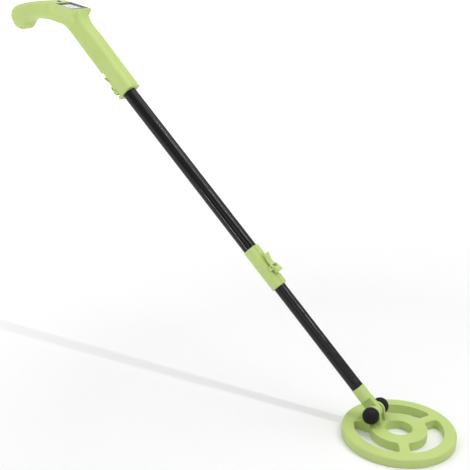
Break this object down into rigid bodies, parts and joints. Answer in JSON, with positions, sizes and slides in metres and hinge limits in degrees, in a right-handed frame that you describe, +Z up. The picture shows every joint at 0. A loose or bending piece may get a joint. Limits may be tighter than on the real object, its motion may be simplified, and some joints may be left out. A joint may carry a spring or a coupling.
{
  "type": "metal detector",
  "caption": "Hand-held metal detector: spoked round search coil on a tilting joint, telescopic pole with locking levers, bent grip with a small display.",
  "frame": {"origin": "centre of the search coil on its flat underside", "axes": "+Z up, +X forward out of the coil away from the handle, +Y across to the detector's left"},
  "size_m": [0.8041, 0.165, 0.581],
  "materials": {
    "coil_plastic": "moulded, light satin texture",
    "case_plastic": "moulded, light satin texture",
    "knob_plastic": "semi-gloss moulded",
    "tube_aluminium": "black anodised, gloss",
    "bush_plastic": "plain moulded",
    "potted_winding": "wire potted in clear resin",
    "bolt_steel": "zinc plated",
    "nut_brass": "turned",
    "washer_rubber": "matt",
    "pin_steel": "ground",
    "spring_steel": "drawn wire",
    "screw_steel": "blackened",
    "bezel_plastic": "satin moulded grey",
    "window_clear": "clear, polished",
    "panel_glass": "pale liquid-crystal panel",
    "board_laminate": "solder-masked laminate",
    "buzzer_plastic": "moulded",
    "switch_plastic": "moulded",
    "button_rubber": "satin",
    "cell_steel": "plain sleeve with no print",
    "contact_steel": "nickel plated",
    "holder_plastic": "moulded"
  },
  "bodies": {
    "handle": {"handle_shell_left": "case_plastic", "handle_shell_right": "case_plastic", "shell_screws": "screw_steel", "display_bezel": "bezel_plastic", "display_window": "window_clear", "display_panel": "panel_glass", "circuit_board": "board_laminate", "buzzer": "buzzer_plastic", "button_switch": "switch_plastic", "battery_cells": "cell_steel", "battery_contacts": "contact_steel", "battery_holder": "holder_plastic", "door_pin": "pin_steel", "handle_lever_pin": "pin_steel", "handle_lever_spring": "spring_steel"},
    "upper_pole": {"upper_tube": "tube_aluminium", "collar": "case_plastic", "collar_lever_pin": "pin_steel", "collar_lever_spring": "spring_steel"},
    "lower_pole": {"lower_tube": "tube_aluminium", "guide_bush": "bush_plastic", "lower_fitting": "coil_plastic"},
    "coil": {"coil_housing": "coil_plastic", "coil_base": "coil_plastic", "transmit_winding": "potted_winding", "receive_winding": "potted_winding", "friction_washers": "washer_rubber", "pivot_bolt": "bolt_steel", "bolt_knob": "knob_plastic"},
    "tightening_knob": {"nut_knob": "knob_plastic", "knob_nut": "nut_brass"},
    "collar_lock": {"collar_lever": "case_plastic"},
    "handle_lock": {"handle_lever": "case_plastic"},
    "button": {"power_button": "button_rubber"},
    "door": {"battery_door": "case_plastic"}
  },
  "joints": [
    {"name": "upper_pole_slide", "type": "slide", "parent": "handle", "child": "upper_pole", "axis": [0.729, 0, -0.6845], "range_m": [0, 0.05]},
    {"name": "lower_pole_slide", "type": "slide", "parent": "upper_pole", "child": "lower_pole", "axis": [0.729, 0, -0.6845], "range_m": [0, 0.1]},
    {"name": "coil_tilt", "type": "hinge", "parent": "lower_pole", "child": "coil", "pos_m": [-0.0377, 0, 0.0289], "axis": [0, 1, 0], "range_deg": [-100, 35]},
    {"name": "knob_turn", "type": "hinge", "parent": "coil", "child": "tightening_knob", "pos_m": [-0.0377, 0.0172, 0.0289], "axis": [0, 1, 0], "continuous": true},
    {"name": "collar_lever_press", "type": "hinge", "parent": "upper_pole", "child": "collar_lock", "pos_m": [-0.21555, 0, 0.21786], "axis": [0, -1, 0], "range_deg": [0, 7], "stiffness_Nm_per_rad": 0.5, "springref_deg": -5.73},
    {"name": "handle_lever_press", "type": "hinge", "parent": "handle", "child": "handle_lock", "pos_m": [-0.51235, 0, 0.45268], "axis": [0, 1, 0], "range_deg": [0, 7], "stiffness_Nm_per_rad": 0.5, "springref_deg": -5.73},
    {"name": "button_press", "type": "slide", "parent": "handle", "child": "button", "axis": [-0.1891, 0, -0.982], "range_m": [0, 0.0008], "stiffness_N_per_m": 1500, "springref_m": -0.0004},
    {"name": "door_swing", "type": "hinge", "parent": "handle", "child": "door", "pos_m": [-0.63507, 0, 0.55212], "axis": [0, -1, 0], "range_deg": [0, 70]}
  ]
}
